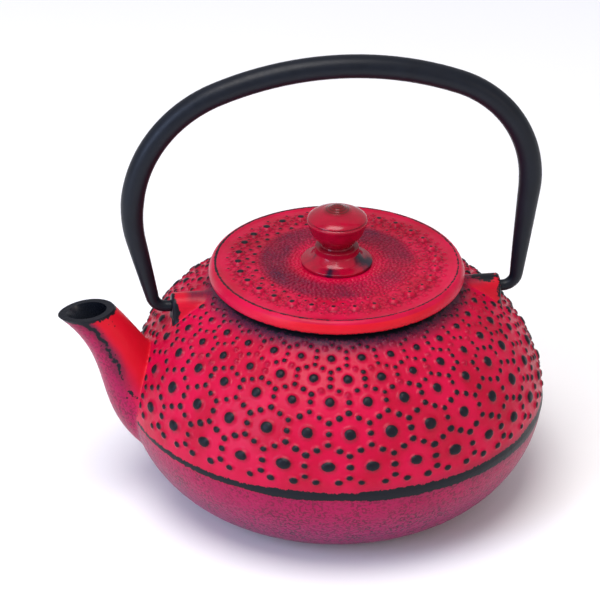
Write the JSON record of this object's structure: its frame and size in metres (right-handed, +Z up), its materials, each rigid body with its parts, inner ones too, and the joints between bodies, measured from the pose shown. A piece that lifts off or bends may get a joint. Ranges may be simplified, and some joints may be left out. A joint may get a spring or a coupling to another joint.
{
  "type": "cast iron teapot",
  "caption": "Squat cast iron teapot with a hobnail shoulder, short spout, swinging bail handle, lift-off lid with a turned knob, and a steel tea infuser.",
  "frame": {"origin": "centre of the flat underside of the pot", "axes": "+Z up, the spout points along -X, the bail stands in the XZ plane and swings about X"},
  "size_m": [0.1739, 0.15, 0.166],
  "materials": {
    "red_iron": "satin crimson enamel rubbed back to black on the high points",
    "black_steel": "matt black powder coat",
    "stainless": "bright stainless steel"
  },
  "bodies": {
    "pot": {"pot_body": "red_iron"},
    "bail": {"handle": "black_steel"},
    "lid": {"lid": "red_iron", "lid_knob": "red_iron", "knob_screw": "stainless", "knob_washer": "stainless"},
    "infuser": {"infuser_rim": "stainless", "infuser_wall": "stainless", "infuser_base_ring": "stainless", "infuser_base_mesh": "stainless"}
  },
  "joints": [
    {"name": "bail_swing", "type": "hinge", "parent": "pot", "child": "bail", "pos_m": [0, 0, 0.0732], "axis": [1, 0, 0], "range_deg": [-117, 117]},
    {"name": "lid_lift", "type": "slide", "parent": "pot", "child": "lid", "axis": [0, 0, 1], "range_m": [0, 0.045]},
    {"name": "infuser_lift", "type": "slide", "parent": "pot", "child": "infuser", "axis": [0, 0, 1], "range_m": [0, 0.027]}
  ],
  "couplings": [
    {"joint": "infuser_lift", "follows": "lid_lift", "ratio": 0.6}
  ]
}
